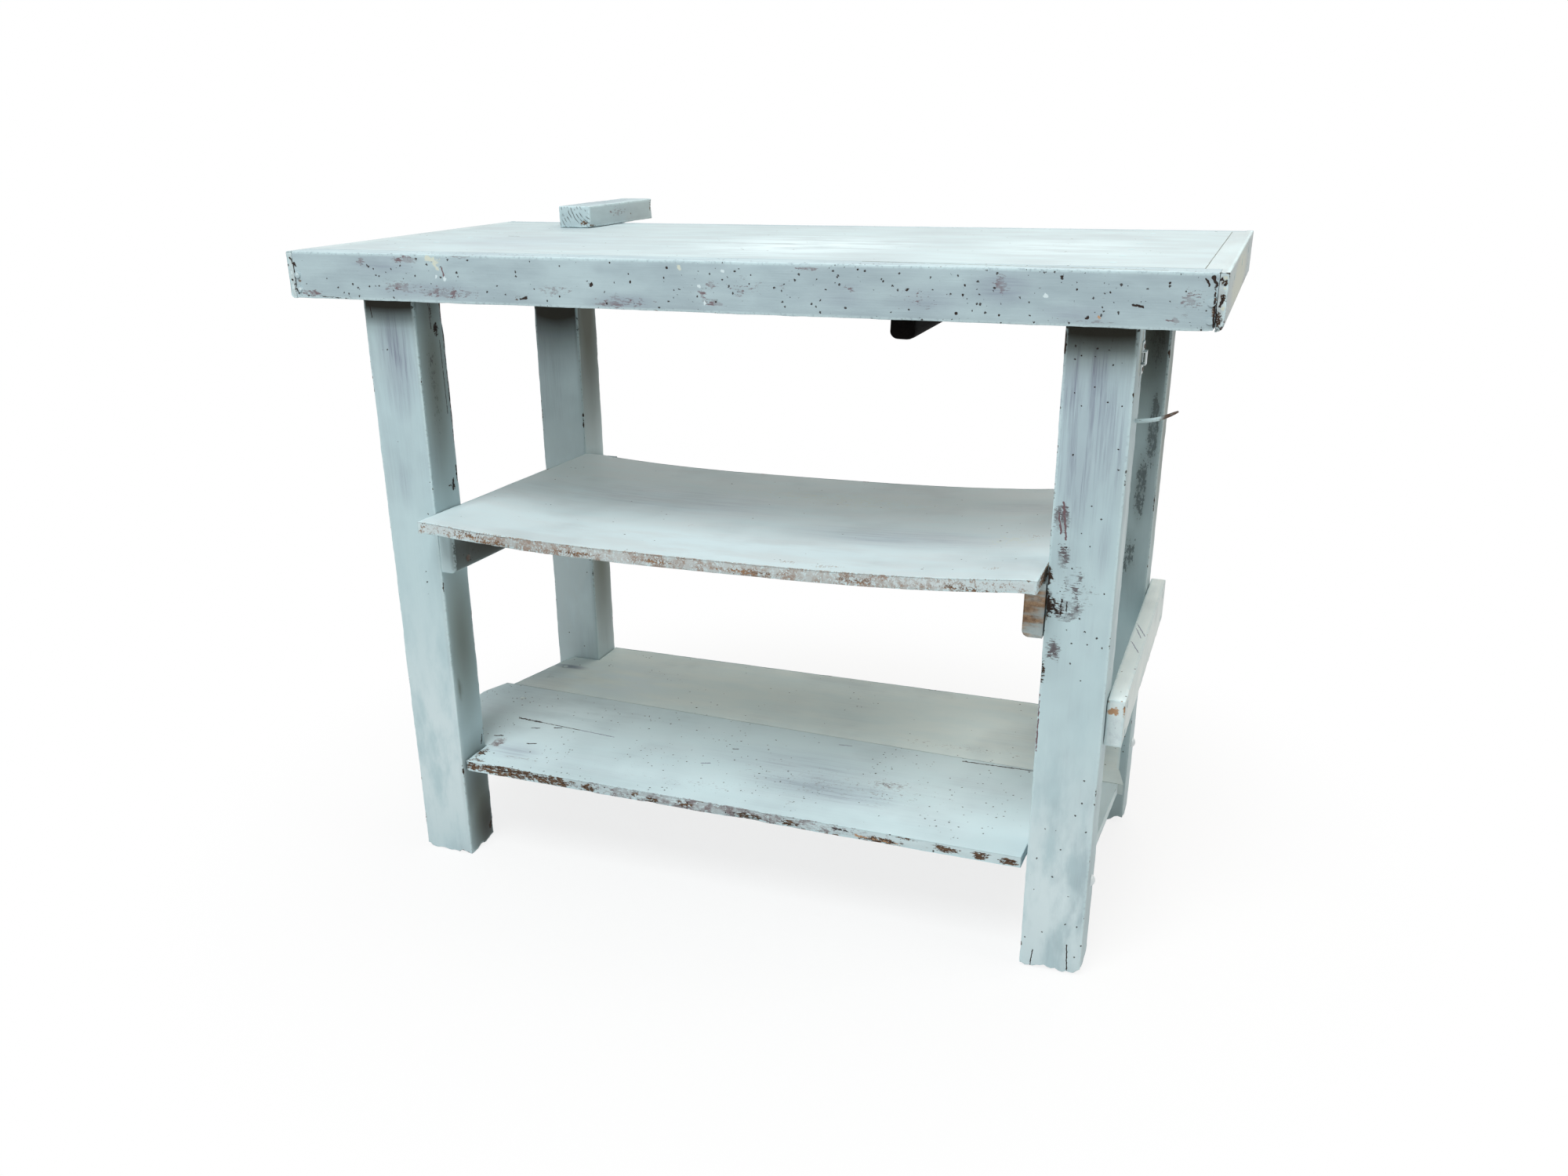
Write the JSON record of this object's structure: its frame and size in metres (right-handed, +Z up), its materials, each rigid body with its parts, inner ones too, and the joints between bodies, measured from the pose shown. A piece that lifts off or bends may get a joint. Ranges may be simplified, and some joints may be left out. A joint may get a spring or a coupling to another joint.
{
  "type": "workbench",
  "caption": "Free-standing painted wooden workbench with a boxed-in top, a loose bowed middle shelf on battens, a notched lower shelf, a side stretcher and a stop block.",
  "frame": {"origin": "on the floor, under the middle of the whole object's box", "axes": "+X to the right along the front, +Y to the back, +Z up"},
  "size_m": [1.12, 0.645, 0.881],
  "materials": {
    "painted_wood": "chalky pale blue-grey brush paint, worn through to brown and orange wood on edges and corners",
    "painted_shelf_wood": "satin pale grey-blue paint, worn along the front edge",
    "bare_dark_wood": "raw, aged dark softwood",
    "bare_worn_wood": "paint rubbed off to orange-brown wood",
    "old_steel": "dull grey-brown rusted steel with traces of paint",
    "painted_metal": "pale paint over metal"
  },
  "bodies": {
    "bench": {"front_edge_board": "painted_wood", "back_edge_board": "painted_wood", "left_end_board": "painted_wood", "right_end_board": "painted_wood", "front_plank": "painted_wood", "middle_plank": "painted_wood", "back_plank": "painted_wood", "plank_nails": "old_steel", "end_board_nails": "old_steel", "corner_nails": "painted_metal", "edge_board_screws": "old_steel", "cross_bearer": "bare_dark_wood", "bearer_screws": "old_steel", "front_left_leg": "painted_wood", "front_right_leg": "painted_wood", "back_left_leg": "painted_wood", "back_right_leg": "painted_wood", "left_upper_rail": "painted_wood", "right_upper_rail": "painted_wood", "upper_rail_pegs": "bare_worn_wood", "left_lower_rail": "painted_wood", "right_lower_rail": "painted_wood", "lower_rail_bolts": "painted_metal", "left_batten": "painted_wood", "right_batten": "bare_worn_wood", "batten_screws": "old_steel", "lower_front_board": "painted_shelf_wood", "lower_back_board": "painted_shelf_wood", "lower_shelf_nails": "old_steel", "side_stretcher": "painted_wood", "stretcher_screws": "old_steel", "stop_block": "painted_wood", "stop_block_screws": "old_steel", "nail_hook": "old_steel", "latch_keeper": "painted_metal", "keeper_screws": "old_steel"},
    "middle_shelf": {"middle_shelf": "painted_shelf_wood"}
  },
  "joints": [
    {"name": "shelf_slide", "type": "slide", "parent": "bench", "child": "middle_shelf", "axis": [0, -0.9997, 0.0262], "range_m": [-0.06, 0.17]}
  ]
}
